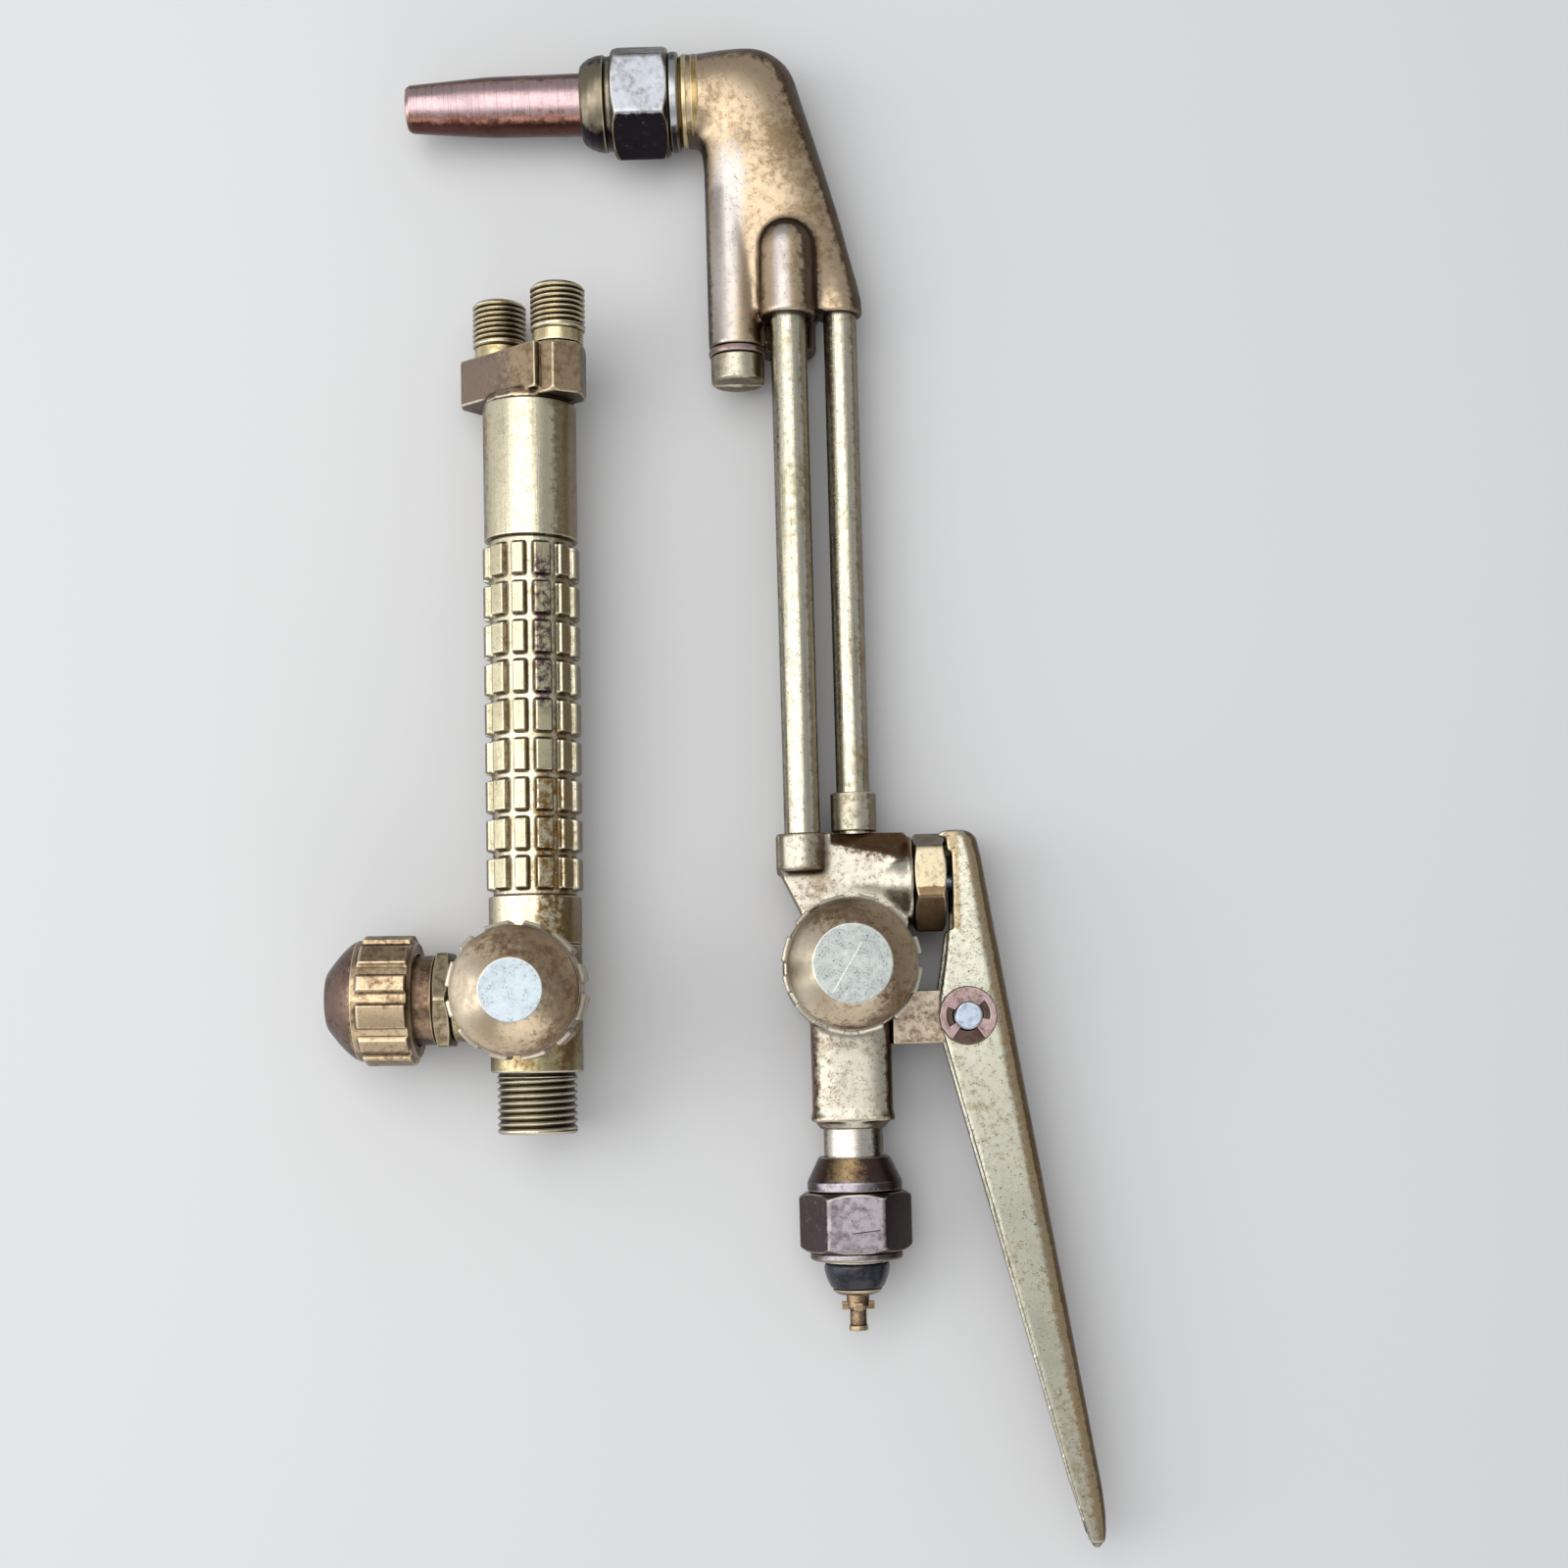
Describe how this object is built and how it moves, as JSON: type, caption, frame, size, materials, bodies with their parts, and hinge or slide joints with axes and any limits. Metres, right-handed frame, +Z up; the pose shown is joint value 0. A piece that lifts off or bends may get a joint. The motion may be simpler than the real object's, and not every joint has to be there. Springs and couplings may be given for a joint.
{
  "type": "cutting torch",
  "caption": "Oxy-fuel cutting torch in two halves laid side by side: a knurled valve handle with hose nipples, and a cutting attachment with tip, tubes, needle valve and squeeze lever.",
  "frame": {"origin": "centre of the bounding box at its base, where both halves lie on z = 0", "axes": "+Y along the attachment from its tail to the head, +X from the handle to the attachment, +Z up through the up-facing knobs"},
  "size_m": [0.2013, 0.402, 0.0723],
  "materials": {
    "copper": "turned copper, lightly tarnished",
    "bronze": "forged, satin brown patina",
    "dark_bronze": "dark brown patina with worn bright edges",
    "pale_brass": "pale, smooth, lightly tarnished",
    "yellow_brass": "bright turned brass",
    "steel": "ground",
    "seal_rubber": "smooth black",
    "packing": "off-white packing"
  },
  "bodies": {
    "attachment": {"cutting_tip": "copper", "tip_nut": "dark_bronze", "torch_head": "bronze", "mixer": "yellow_brass", "mixer_plug_gasket": "copper", "mixer_plug": "pale_brass", "preheat_oxygen_tube": "pale_brass", "fuel_gas_tube": "pale_brass", "cutting_oxygen_tube": "pale_brass", "cutting_tube_ferrule": "pale_brass", "valve_body": "bronze", "preheat_bonnet": "yellow_brass", "preheat_packing": "packing", "preheat_gland": "bronze", "cutting_gland_nut": "yellow_brass", "cutting_valve_packing": "packing", "cutting_valve_seat": "packing", "cutting_valve_spring": "steel", "tail_tube": "pale_brass", "tail_seal": "seal_rubber", "tail_nose": "yellow_brass", "tail_nipple": "yellow_brass", "pivot_lug": "bronze", "lever_pivot_pin": "steel", "pivot_washer": "dark_bronze", "pivot_e_clip": "copper"},
    "lever": {"cutting_lever": "pale_brass"},
    "cutting_stem": {"cutting_valve_stem": "steel"},
    "preheat_spindle": {"preheat_spindle": "steel"},
    "preheat_knob": {"preheat_knob": "bronze"},
    "union_nut": {"union_nut": "dark_bronze"},
    "handle": {"valve_housing": "yellow_brass", "handle_barrel": "yellow_brass", "inlet_block": "bronze", "fuel_inlet_nipple": "yellow_brass", "oxygen_inlet_nipple": "yellow_brass", "handle_fuel_tube": "copper", "handle_oxygen_tube": "copper", "oxygen_bonnet": "yellow_brass", "oxygen_packing": "packing", "oxygen_gland": "bronze", "fuel_bonnet": "yellow_brass", "fuel_packing": "packing", "fuel_gland": "bronze"},
    "oxygen_spindle": {"oxygen_spindle": "steel"},
    "oxygen_knob": {"oxygen_knob": "bronze"},
    "fuel_spindle": {"fuel_spindle": "steel"},
    "fuel_knob": {"fuel_knob": "bronze"}
  },
  "joints": [
    {"name": "lever_hinge", "type": "hinge", "parent": "attachment", "child": "lever", "pos_m": [0.0675, -0.0593, 0.0131], "axis": [0, 0, -1], "range_deg": [0, 8], "stiffness_Nm_per_rad": 1, "springref_deg": -5.73},
    {"name": "cutting_valve_slide", "type": "slide", "parent": "attachment", "child": "cutting_stem", "axis": [1, 0, 0], "range_m": [0, 0.005], "deforming": ["cutting_valve_spring"]},
    {"name": "preheat_valve_lift", "type": "slide", "parent": "attachment", "child": "preheat_spindle", "axis": [0, 0, 1], "range_m": [0, 0.002]},
    {"name": "preheat_knob_turn", "type": "hinge", "parent": "preheat_spindle", "child": "preheat_knob", "pos_m": [0.0369, -0.0458, 0.045], "axis": [0, 0, 1], "range_deg": [0, 720]},
    {"name": "union_nut_spin", "type": "hinge", "parent": "attachment", "child": "union_nut", "pos_m": [0.0369, -0.1084, 0.0131], "axis": [0, 1, 0], "continuous": true},
    {"name": "handle_lift", "type": "slide", "parent": "attachment", "child": "handle", "axis": [0, 0, 1], "range_m": [0, 0.1]},
    {"name": "oxygen_valve_lift", "type": "slide", "parent": "handle", "child": "oxygen_spindle", "axis": [-0.9999, 0.0157, 0], "range_m": [0, 0.002]},
    {"name": "oxygen_knob_turn", "type": "hinge", "parent": "oxygen_spindle", "child": "oxygen_knob", "pos_m": [-0.0899, -0.05111, 0.0177], "axis": [-0.9999, 0.0157, 0], "range_deg": [0, 720]},
    {"name": "fuel_valve_lift", "type": "slide", "parent": "handle", "child": "fuel_spindle", "axis": [0, 0, 1], "range_m": [0, 0.002]},
    {"name": "fuel_knob_turn", "type": "hinge", "parent": "fuel_spindle", "child": "fuel_knob", "pos_m": [-0.04588, -0.0503, 0.062], "axis": [0, 0, 1], "range_deg": [0, 720]}
  ],
  "couplings": [
    {"joint": "cutting_valve_slide", "follows": "lever_hinge", "m_per_rad": 0.0357},
    {"joint": "preheat_knob_turn", "follows": "preheat_valve_lift", "rad_per_m": 6283.1},
    {"joint": "oxygen_knob_turn", "follows": "oxygen_valve_lift", "rad_per_m": 6283.1},
    {"joint": "fuel_knob_turn", "follows": "fuel_valve_lift", "rad_per_m": 6283.1}
  ]
}
